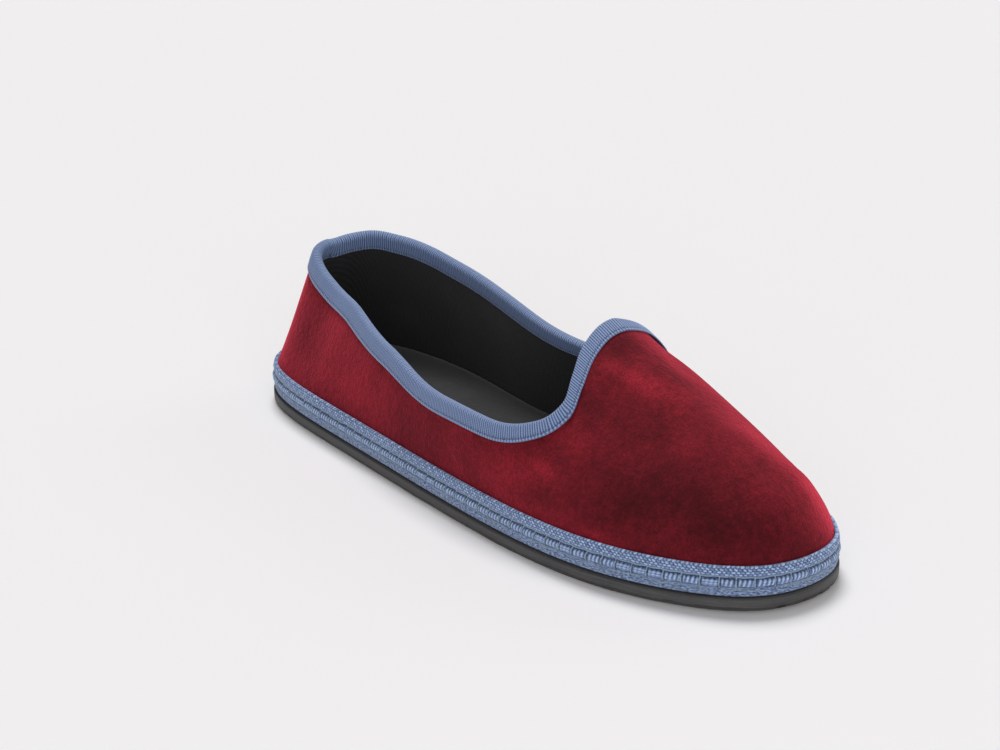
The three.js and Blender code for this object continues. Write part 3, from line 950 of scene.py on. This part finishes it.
def upper():
    ribs = Ribs(np.arange(VELVET_STATIONS) * 2 * np.pi / VELVET_STATIONS)
    share = np.linspace(0, 1, VELVET_ROWS)
    skin = ribs.at(share[None, :] * (ribs.lengths[:, None] - VELVET_EDGE))
    # The cloth rounds over the last's ridge line
    ease = 0.5 * smooth(0.1, 0.35, share) * (1 - smooth(0.75, 0.95, share))
    for _ in range(ROUNDING):
        beside = (np.roll(skin, 1, 0) + np.roll(skin, -1, 0)) / 2
        skin = skin + ease[None, :, None] * (beside - skin)
    foot = outline(ribs.turns, LAST_INSET)
    rise = spring(foot[:, 0])
    below = [
        np.column_stack([foot, np.full(len(foot), height) + rise])
        for height in np.linspace(MARGIN_FOOT, RIBBON_TOP, 5)[:-1]
    ]
    skin = np.concatenate([np.stack(below, 1), skin], 1)
    normals = grid_normals(skin)
    outer = creased(skin, normals)
    backs = list(range(0, skin.shape[1], 8)) + [skin.shape[1] - 1]
    inner = outer[:, backs] - normals[:, backs] * VELVET_THICKNESS
    loops = np.concatenate([outer, inner[:, ::-1]], 1)
    # Patches of brushed nap, and of painted sheen along the inner side of the ridge
    nap = np.zeros(loops.shape[:2])
    for row in zip(*NAP_AND_SHEEN.values()):
        middle, long, wide, light = np.array(row[:3]) * mm, row[3] * mm, row[4] * mm, row[5]
        reach = loops - middle
        away = (reach[..., 0] / long) ** 2 + (reach[..., 1] ** 2 + reach[..., 2] ** 2) / wide ** 2
        nap += light * np.exp(-away)
    velvet = ring_piece("upper_velvet", loops, velvet_finish(), nap=nap)
    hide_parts("upper")
    fewer = list(range(0, skin.shape[1], 3)) + [skin.shape[1] - 1]
    face = outer[:, fewer] - normals[:, fewer] * WALL
    back = outer[:, fewer] - normals[:, fewer] * (VELVET_THICKNESS + 0.1 * mm)
    lining = ring_piece("upper_lining", np.concatenate([back, face[:, ::-1]], 1), LINING_FINISH)
    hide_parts("upper")


upper()

# Edge ribbon. A woven blue ribbon closes the pad's edge all round. Its lower part is a plain heathered
# tape; above it the seam that holds sole and upper together pulls the ribbon into a row of small quilted
# boxes, and a checked selvedge lies against the velvet. The tape and the selvedge are two bands here.

RIBBON_SAMPLES = 6001             # of the sole's edge, from which even steps are read
RIBBON_COLUMNS = 3300
BOX_PITCH = 5.65 * mm
BOX_SEED = 5
BOX_MIDDLE = 9.35 * mm
BOX_HALF = 1.25 * mm
TAPE_FOOT = 4.9 * mm
SELVEDGE_FOOT = 11.6 * mm
SELVEDGE_TOP = 14.5 * mm
TAPE_ROWS = 27
SELVEDGE_ROWS = 19
WARP_PITCH = 1.44 * mm            # of the ribs in the boxes and the floats of the selvedge
FLOAT_ROW = 0.8 * mm

# Half section of the ribbon in millimetres: height, and how far inside the rubber's edge
RIBBON = table(
    "z inset",
    (4.9, 0.5), (6.4, 0.1), (7.9, 0.3), (9.4, -0.1), (11.1, 0.4), (12.8, 0.15), (14.5, 0.65),
)
RIBBON_BACK = 1.6 * mm
RIBBON_SUNK = 0.15 * mm           # the ground of the weave lies this far inside the half section


def ribbon_finish():
    material, place = new_finish("blue_ribbon")
    shade = place.mark("shade")
    cloth = place.mark("cloth", "Vector")
    fade = place.noise(22 * mm, 3.0).between(0.3, 0.75)
    # Heathered yarn: short flecks, light and dark, over a close twill
    flecks = cloth.noise(0.5 * mm, 3.0, (2.2, 1, 1))
    twill = (cloth.part("X") + cloth.part("Y") * 0.9).wave(0.7 * mm)
    yarn = (flecks * 0.9 + twill * 0.1).between(0.4, 0.6)
    plain = place.mark("plain")
    colour = colour_mix(fade, srgb(108, 136, 184), srgb(124, 152, 198))
    # The shade mark carries painted light and shade of the weave's relief: lighter crowns, darker slits,
    # crevices and gaps
    colour = colour_mix(shade.between(0.48, 0.85), colour, srgb(192, 214, 250))
    colour = colour_mix(1 - shade.between(0.02, 0.5), colour, srgb(12, 18, 46))
    colour = colour_mix((1 - yarn) * (plain * 0.5 + 0.3), colour, srgb(46, 66, 110))
    colour = colour_mix(yarn * (plain * 0.5 + 0.12), colour, srgb(178, 202, 240))
    colour = colour_mix(place.mark("thread") * 0.85, colour, srgb(158, 180, 196))
    height = yarn * (plain * 0.7 + 0.3)
    close_finish(
        place, height, 0.25 * mm, Base_Color=colour, Roughness=0.65 + yarn * 0.2, Sheen_Weight=0.2
    )
    return material


RIBBON_FINISH = ribbon_finish()


def ribbon_turns():
    """Turns at even steps along the sole's edge, and the length run at each."""
    turn = np.linspace(0, 2 * np.pi, RIBBON_SAMPLES)
    run = along_path(outline(turn, 0))
    steps = np.arange(RIBBON_COLUMNS) / RIBBON_COLUMNS * run[-1]
    return np.interp(steps, run, turn), steps, run[-1]


def ribbon_boxes(run, whole):
    """For each place along the ribbon, the share of its box that lies behind it and the box's length."""
    chance = np.random.default_rng(BOX_SEED)
    widths = 1 + chance.uniform(-0.14, 0.14, int(round(whole / BOX_PITCH)))
    edges = np.concatenate([[0], np.cumsum(widths)]) / widths.sum() * whole
    number = np.clip(np.searchsorted(edges, run, side="right") - 1, 0, len(widths) - 1)
    length = edges[number + 1] - edges[number]
    return (run - edges[number]) / length, length, number


def ridge(distance, width):
    """A rounded ridge: 1 at its crest and nearly 0 a width away."""
    return np.exp(-((distance / width) ** 2))


def sway(run, whole, size, seed):
    """A slow irregular wave along the closed ribbon, mostly between -1 and 1, its swings about size long."""
    chance = np.random.default_rng(seed)
    total = 0
    for part in (1, 1.7, 2.6):
        waves = round(whole / size * part)
        total = total + np.sin(2 * np.pi * waves * run / whole + chance.uniform(0, 6)) / part ** 0.5
    return total / 2


SLIT_AT = 10.5 * mm               # height of the dark slits along the top of the boxes
FOOT_AT = 7.95 * mm               # and of the dark line under them
CREVICE = (7.6 * mm, 11.1 * mm)   # from here to there a crevice parts two boxes
UPRIGHT_AT = 0.42 * mm            # the upright stitch, from the start of its box
UPRIGHT_FOOT = 7.6 * mm
UPRIGHT_TOP = 11.2 * mm
THREAD_WIDTH = 0.17 * mm


def tape_relief(run, whole, z):
    """How far the tape stands out at each place, how light it is with the painted light and shade of that
    relief, 0.5 being the plain tape, and the share of sewing thread in it."""
    def drift(size, seed):
        return sway(run, whole, size * mm, seed)

    up = z - BOX_MIDDLE
    # The boxes stand upright at the toe and lean along the sides
    lean = 0.5 * np.sin(2 * np.pi * run / whole) ** 2
    ragged = 0.15 * mm * sway(run + z * 40, whole, 3 * mm, 2)
    share, length, number = ribbon_boxes(run + lean * up + ragged, whole)
    behind = share * length
    edge = np.minimum(behind, length - behind)
    height = up / BOX_HALF
    inside = smooth(-1.12, -0.85, height) * (1 - smooth(0.85, 1.12, height))
    crown = np.sqrt(np.clip(1.1 - height ** 2, 0, 1))
    pillow = inside * crown * smooth(0.1 * mm, 0.65 * mm, edge)
    # Upright floats of the warp fill the boxes, in two short rows, no two boxes alike
    chance = np.random.default_rng(BOX_SEED + 1)
    fates = chance.uniform(0, 1, (int(number.max()) + 1, 4))[number]
    warp = 0.5 + 0.5 * np.cos(2 * np.pi * (run + 0.25 * up) / WARP_PITCH + 3 * fates[..., 0])
    rows = np.abs(np.sin(np.pi * (up / (1.3 * mm) + 0.4 * fates[..., 3]))) ** 0.5
    floats = 0.5 + 0.5 * np.cos(2 * np.pi * up / (0.8 * mm) + 2)
    ribs = np.where(fates[..., 1] < 0.78, warp * (0.55 + 0.45 * rows), 0.35 * warp + 0.65 * floats)
    relief = 0.36 * mm * pillow * (0.6 + 0.4 * ribs)
    # Painted light and shade: the floats on each box lighter, the dips between them darker, more so higher up
    # the box
    light = 0.46 + pillow * (0.8 * ribs - 0.24) * (1 + 0.25 * height)
    thread = np.zeros(run.shape)
    # Painted shade: dark slits along the scalloped top and the foot of each box, and a dark crevice between
    # two boxes
    slit = ridge(z - SLIT_AT - 0.26 * mm * warp, 0.21 * mm) * smooth(0.03, 0.12, share)
    slit = slit * (1 - smooth(0.85, 0.96, share)) * (0.5 + 0.5 * fates[..., 2])
    broken = np.clip(0.55 + 0.6 * drift(7, 14), 0, 1)
    foot = ridge(z - FOOT_AT + 0.12 * mm * drift(5, 15), 0.18 * mm) * broken
    crevice = ridge(edge, 0.26 * mm) * smooth(CREVICE[0], CREVICE[0] + 0.5 * mm, z)
    crevice = crevice * (1 - smooth(CREVICE[1] - 0.3 * mm, CREVICE[1], z))
    dark = np.maximum(np.maximum(slit, 0.85 * foot), 0.8 * crevice)
    relief = relief - 0.26 * mm * dark
    light = light - 0.66 * dark
    # Sewing thread: a run along the top of the boxes, a double one under them, and upright stitches, each
    # with painted shade beside it, and a dark pit painted as shade at an upright stitch's foot
    runs = [
        (11.2 + 0.2 * drift(34, 8) + 0.12 * np.sin(2 * np.pi * share), 1.0),
        (7.5 + 0.14 * drift(26, 9), np.clip(0.5 + 0.7 * drift(30, 12), 0, 1)),
        (7.0 + 0.14 * drift(20, 10), np.clip(0.4 + 0.7 * drift(24, 13), 0, 1)),
    ]
    for height_mm, strength in runs:
        line = height_mm * mm
        strand = ridge(z - line, THREAD_WIDTH) * strength
        shadow = ridge(z - line + 0.36 * mm, 0.15 * mm) + 0.5 * ridge(z - line - 0.34 * mm, 0.14 * mm)
        relief = relief + 0.2 * mm * strand - 0.1 * mm * shadow * strength
        light = np.maximum(light - 0.42 * shadow * strength, 0.62 * strand)
        thread = np.maximum(thread, strand)
    reach = UPRIGHT_FOOT - 1.3 * mm * (fates[..., 3] > 0.6)
    upright = ridge(behind - UPRIGHT_AT, 0.16 * mm) * smooth(reach, reach + 0.3 * mm, z)
    upright = upright * (1 - smooth(UPRIGHT_TOP, UPRIGHT_TOP + 0.3 * mm, z))
    beside = ridge(behind - 0.8 * mm, 0.15 * mm) * smooth(reach, reach + 0.3 * mm, z) * (z < 11 * mm)
    hole_shade = ridge(np.hypot(behind - UPRIGHT_AT, z - reach + 0.15 * mm), 0.34 * mm)
    relief = relief + 0.24 * mm * upright - 0.1 * mm * beside - 0.15 * mm * hole_shade
    light = np.maximum(light - 0.45 * beside - 0.55 * hole_shade, 0.74 * upright)
    thread = np.maximum(thread, upright)
    return relief, np.clip(light, 0, 1), thread


def selvedge_relief(run, whole, z):
    """The same of the selvedge: rows of short floats, each row half a float along."""
    row = (SELVEDGE_TOP - z) / FLOAT_ROW + 0.35
    number = np.floor(row)
    along = run / (whole / round(whole / WARP_PITCH)) + 0.5 * (number % 2) + 0.12 * (row - number)
    along = along + 0.12 * sway(run, whole, 4 * mm, 21) + 0.06 * number
    fullness = 0.86 + 0.2 * np.sin(np.floor(along) * 2.1 + number * 1.7)
    pillow = np.abs(np.sin(np.pi * along)) ** 0.6 * np.abs(np.sin(np.pi * row)) ** 0.5 * fullness
    # Painted shade: the floats are light at their crowns and dark in the gaps between them
    return 0.28 * mm * pillow, np.clip(1.05 * pillow - 0.03, 0, 1), np.zeros(run.shape)


def ribbon_band(name, low, high, rows, relief_at, play):
    """One band of the ribbon, with its woven relief outside and a smooth back. play is how far its upper
    edge wanders up and down."""
    turns, run, whole = ribbon_turns()
    share = np.linspace(0, 1, rows)
    z = low + (high - low) * share
    inset = follow(RIBBON, "z", "inset", z / mm) * mm
    run_grid, z_grid = np.meshgrid(run, z, indexing="ij")
    relief, light, thread = relief_at(run_grid, whole, z_grid)
    scallop = 0.6 * sway(run, whole, 26 * mm, 31) + 0.45 * np.cos(2 * np.pi * run / WARP_PITCH)
    lifted = z_grid + play * scallop[:, None] * share ** 2
    edge = outline(turns, 0)
    inward = unit(outline(turns, 1 * mm) - edge)
    flat = edge[:, None] + inward[:, None] * (inset - relief + RIBBON_SUNK)[..., None]
    outer = np.concatenate([flat, (lifted + spring(flat[..., 0]))[..., None]], -1)
    hidden = []
    for height in (high, low):
        back = edge + inward * RIBBON_BACK
        hidden.append(np.column_stack([back, height + spring(back[:, 0])]))
    loops = np.concatenate([outer, np.stack(hidden, 1)], 1)
    count = len(turns)
    heights = np.concatenate([z, [high, low]])
    plain = np.tile(1 - smooth(7.2 * mm, 8 * mm, heights), (count, 1))
    cloth = np.zeros(loops.shape)
    cloth[..., 0] = run[:, None]
    cloth[..., 1] = heights
    # Painted shade: the hidden top a little darker than the top row, the back dark
    shade = np.concatenate([light, 0.8 * light[:, -1:], np.full((count, 1), 0.3)], 1)
    thread = np.concatenate([thread, np.zeros((count, 2))], 1)
    made = ring_piece(name, loops, RIBBON_FINISH, shade=shade, cloth=cloth, plain=plain, thread=thread)
    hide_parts("edge_ribbon")


ribbon_band("ribbon_tape", TAPE_FOOT, SELVEDGE_FOOT, TAPE_ROWS, tape_relief, 0)
ribbon_band("ribbon_selvedge", SELVEDGE_FOOT, SELVEDGE_TOP, SELVEDGE_ROWS, selvedge_relief, 0.5 * mm)

# Collar binding. Blue grosgrain folded over the opening's edge and sewn through: its cross ribs stand
# close together, and a braided bead closes it against the velvet. Its inner leg has a chain stitch along
# its lower edge.

BINDING_COLUMNS = 2700
BINDING_THICKNESS = 0.55 * mm
BINDING_GAP = 0.3 * mm
GROS_PITCH = 0.88 * mm
BRAID_PITCH = 1.15 * mm           # of the bead along both feet
BEAD_AT = 0.4 * mm                # from the foot up
BEAD_WIDTH = 0.42 * mm
HOLES_AT = 1.15 * mm              # the needle holes, from the foot up
HOLES_WIDTH = 0.32 * mm
GROS_RELIEF = 0.2 * mm
BEAD_RELIEF = 0.24 * mm
HOLES_RELIEF = 0.14 * mm
FOOT_THINNING = 0.25 * mm
FOLD_RISE = 0.4 * mm              # the fold stands off the cloth's edge by this much more
OPENING_SAMPLES = 721
LEG_ROWS = 11

# By the turn of the cloth rib's foot: how far the binding reaches down the wall on the shoe's outer and
# inner side, in millimetres, and how square to the edge its own ribs stand, from 0 along the cloth's ribs
# to 1
BINDING_LEG = table(
    "foot outer inner square",
    (0, 5.6, 5.6, 1),
    (60, 5.4, 5.4, 1),
    (104, 5.1, 5.0, 0.6),
    (118, 4.9, 4.4, 0.5),
    (130, 5.4, 3.9, 0.5),
    (150, 5.6, 3.9, 0.25),
    (165, 5.5, 4.8, 0),
    (180, 5.9, 5.9, 0),
)
FOLD_ROWS = 5


def binding_finish():
    material, place = new_finish("blue_grosgrain")
    shade = place.mark("shade")
    cloth = place.mark("cloth", "Vector")
    fibre = place.noise(0.4 * mm, 3.0)
    # The weft shows as pale ticks that cross the dark gaps
    ticks = (cloth.part("Y") + cloth.part("X") * 0.55).wave(0.95 * mm).between(0.45, 0.9)
    # The shade mark carries painted light and shade: light rib crests and bead, dark gaps and needle holes
    colour = colour_mix(shade, srgb(12, 22, 64), srgb(162, 190, 240))
    colour = colour_mix(ticks * (1 - shade) * 0.4, colour, srgb(120, 148, 204))
    colour = colour_mix(fibre.between(0.45, 0.75) * 0.25, colour, srgb(84, 110, 164))
    close_finish(
        place, fibre, 0.12 * mm, Base_Color=colour, Roughness=0.55 + fibre * 0.25, Sheen_Weight=0.25
    )
    return material


def collar_binding():
    around = np.linspace(0, 2 * np.pi, OPENING_SAMPLES)
    edge = Ribs(around[:-1]).paths[:, -1]
    run = along_path(np.vstack([edge, edge[:1]]))
    whole = run[-1]
    steps = np.arange(BINDING_COLUMNS) / BINDING_COLUMNS * whole
    turns = np.interp(steps, run, around)
    ribs = Ribs(turns)
    share = np.linspace(0, 1, LEG_ROWS)
    outer, inner = (follow(BINDING_LEG, "foot", side, ribs.feet) for side in ("outer", "inner"))
    width = np.where(turns <= np.pi, inner, outer)[:, None] * mm
    skin = ribs.at(ribs.lengths[:, None] - width * (1 - share))
    normals = grid_normals(skin)
    crest, facing = skin[:, -1:], normals[:, -1:]
    up = unit(crest - skin[:, -2:-1])
    far = BINDING_GAP + BINDING_THICKNESS
    out = (far - FOOT_THINNING * (1 - np.sin(share * np.pi / 2) ** 0.5))[None, :, None]
    bend = np.linspace(0, np.pi, FOLD_ROWS + 2)[None, 1:-1, None]
    fold = crest - facing * WALL / 2 + facing * np.cos(bend) * (WALL / 2 + far)
    fold = fold + up * np.sin(bend) * (far + FOLD_RISE)
    grid = np.concatenate([skin + normals * out, fold, (skin - normals * (WALL + out))[:, ::-1]], 1)
    lean = facing * np.cos(bend) + up * np.sin(bend)
    outward = np.concatenate([normals, lean, -normals[:, ::-1]], 1)
    # Across the ribbon: a number from 0 at the outer leg's foot to 1 at the fold and 2 at the inner foot
    place = np.concatenate([share, np.ones(FOLD_ROWS), 2 - share[::-1]])
    pitch = whole / round(whole / GROS_PITCH)
    # Hand feeding leaves the cross ribs a little uneven
    uneven = 0.12 * sway(steps, whole, 9 * mm, 41)
    # The ribs stand nearly square to the edge, although the cloth's own ribs don't
    along = unit(np.roll(crest, -1, 0) - np.roll(crest, 1, 0))
    slip = ((skin - crest) * along).sum(-1)
    slip = slip * follow(BINDING_LEG, "foot", "square", ribs.feet)[:, None]
    slip = np.concatenate([slip, np.zeros((BINDING_COLUMNS, FOLD_ROWS)), slip[:, ::-1]], 1)
    wave = 0.5 + 0.5 * np.cos(2 * np.pi * ((steps[:, None] + slip) / pitch + uneven[:, None]))
    body = smooth(0.16, 0.24, place) * (1 - smooth(1.8, 1.86, place))
    # The braided bead along both feet of the ribbon, its light thread lit up on each turn of the braid as
    # painted light, and the needle holes beside it, darkened as painted shade
    foot = np.minimum(place, 2 - place)[None, :] * width
    bead = ridge(foot - BEAD_AT, BEAD_WIDTH)
    braid = 0.5 + 0.5 * np.cos(2 * np.pi * (steps[:, None] + slip) / BRAID_PITCH + 2 * uneven[:, None])
    relief = GROS_RELIEF * wave ** 0.7 * body - 0.12 * mm + BEAD_RELIEF * bead * (0.3 + 0.7 * braid)
    # Painted light and shade: the ribs' crests are light and the gaps between them dark
    shade = 0.8 * wave ** 0.9 * body + 0.2 * (1 - body)
    shade = np.maximum(shade, bead * (0.3 + 0.8 * braid))
    pulled = 0.7 + 0.3 * sway(steps, whole, 5 * mm, 43)
    holes = ridge(foot - HOLES_AT, HOLES_WIDTH) * (1 - braid) * pulled[:, None]
    shade = np.clip(shade - 0.8 * holes, 0, 1)
    surface = grid + outward * (relief - HOLES_RELIEF * holes)[..., None]
    gap = normals * BINDING_GAP
    back = skin - normals * (WALL + BINDING_GAP)
    rise = up * BINDING_GAP
    inside = [back[:, :1], back[:, -1:] + rise, crest + gap[:, -1:] + rise, skin[:, :1] + gap[:, :1]]
    loops = np.concatenate([surface, *inside], 1)
    # Painted shade on the hidden inside faces
    shade = np.concatenate([shade, np.full((BINDING_COLUMNS, 4), 0.2)], 1)
    cloth = np.zeros(loops.shape)
    cloth[:, :grid.shape[1], 0] = steps[:, None] + slip
    cloth[:, :grid.shape[1], 1] = foot
    made = ring_piece("collar_grosgrain", loops, binding_finish(), shade=shade, cloth=cloth)
    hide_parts("collar_binding")


collar_binding()

# Studio. A pale floor that fills the view and a faint even surround. The key light stands high behind the
# heel, so the toe's shadow falls to the front. A broad low light in front fills the sides, and one beyond
# the shoe, that casts no shadow, brings up the velvet's sheen.

FLOOR_REACH = 6.0
FLOOR_COLOUR = srgb(244, 242, 243)
SURROUND = 0.25
LIGHTS = (
    # name, direction it comes from, spread in degrees, strength, whether it casts shadows
    ("key", (-0.38, 0.22, 0.9), 24, 1.9, True),
    ("front", (0.77, -0.6, 0.2), 60, 1.3, True),
    ("beyond", (0.15, 0.94, 0.3), 40, 0.8, False),
)


def floor_finish():
    material, place = new_finish("pale_floor")
    grain = place.noise(60 * mm, 2.0)
    close_finish(
        place, grain, 0.005 * mm, Base_Color=colour_mix(grain * 0.1, FLOOR_COLOUR, srgb(243, 242, 243)),
        Roughness=0.95, Specular_IOR_Level=0.05,
    )
    return material


def studio():
    mesh = bpy.data.meshes.new("floor")
    r = FLOOR_REACH
    mesh.from_pydata([(-r, -r, 0), (r, -r, 0), (r, r, 0), (-r, r, 0)], [], [(0, 1, 2, 3)])
    mesh.materials.append(floor_finish())
    floor = bpy.data.objects.new("floor", mesh)
    bpy.context.scene.collection.objects.link(floor)
    world = bpy.data.worlds.new("surround")
    world.use_nodes = True
    world.node_tree.nodes["Background"].inputs["Color"].default_value = (1, 1, 1, 1)
    world.node_tree.nodes["Background"].inputs["Strength"].default_value = SURROUND
    bpy.context.scene.world = world
    for name, direction, spread, strength, shadows in LIGHTS:
        lamp = bpy.data.lights.new(name, "SUN")
        lamp.angle = np.radians(spread)
        lamp.energy = strength
        lamp.use_shadow = shadows
        holder = bpy.data.objects.new(name, lamp)
        holder.rotation_mode = "QUATERNION"
        holder.rotation_quaternion = Vector(direction).to_track_quat("Z", "Y")
        bpy.context.scene.collection.objects.link(holder)


studio()

# Camera. It looks down on the outer side of the toe, as the photograph does, with a long lens.

FRAME_WIDTH = 1000                # of the photograph, in pixels
FOCAL_LENGTH = 3005               # in the same pixels
SENSOR_WIDTH = 36
AZIMUTH = np.radians(52.6)
ELEVATION = np.radians(20.8)
ROLL = np.radians(-0.7)
DISTANCE = 1095.8 * mm
TARGET = Vector((-84.95 * mm, 49.88 * mm, 0))


def camera():
    back = Vector((
        np.sin(AZIMUTH) * np.cos(ELEVATION), -np.cos(AZIMUTH) * np.cos(ELEVATION), np.sin(ELEVATION)
    ))
    level = Vector((0, 0, 1)).cross(back).normalized()
    above = back.cross(level)
    right = level * np.cos(ROLL) + above * np.sin(ROLL)
    up = above * np.cos(ROLL) - level * np.sin(ROLL)
    lens = bpy.data.cameras.new("camera")
    lens.sensor_width = SENSOR_WIDTH
    lens.lens = SENSOR_WIDTH * FOCAL_LENGTH / FRAME_WIDTH
    lens.clip_end = 20
    holder = bpy.data.objects.new("camera", lens)
    turned = Matrix((right, up, back)).transposed()
    holder.matrix_world = Matrix.Translation(TARGET + back * DISTANCE) @ turned.to_4x4()
    bpy.context.scene.collection.objects.link(holder)
    bpy.context.scene.camera = holder


camera()
bpy.context.scene.view_settings.view_transform = "Standard"
